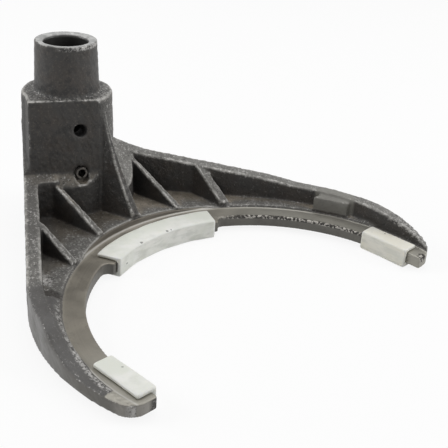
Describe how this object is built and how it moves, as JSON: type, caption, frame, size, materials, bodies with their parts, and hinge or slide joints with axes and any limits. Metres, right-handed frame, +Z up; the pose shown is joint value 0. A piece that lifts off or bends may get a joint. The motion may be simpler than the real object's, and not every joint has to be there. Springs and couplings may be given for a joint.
{
  "type": "transfer case shift fork",
  "caption": "Cast shift fork: a tubular hub slides on a rail, and curved arms with clip-on wear pads straddle a shift sleeve and move it along its shaft.",
  "frame": {"origin": "on the axis of the shift rail bore, at the hub's bottom face, which is level with the bottom of the wear pads", "axes": "+Z up the bore towards the hub's neck, +X from the hub towards the open mouth of the fork, +Y towards the longer arm, away from the hub's flat face"},
  "size_m": [0.1346, 0.1484, 0.0703],
  "materials": {
    "casting": "as-cast, with machined faces left bare",
    "wear_pad": "moulded",
    "pin": "dull"
  },
  "bodies": {
    "root": {"fork_casting": "casting", "centre_pad": "wear_pad", "near_tip_pad": "wear_pad", "far_tip_pad": "wear_pad", "spring_pin": "pin"}
  },
  "joints": []
}
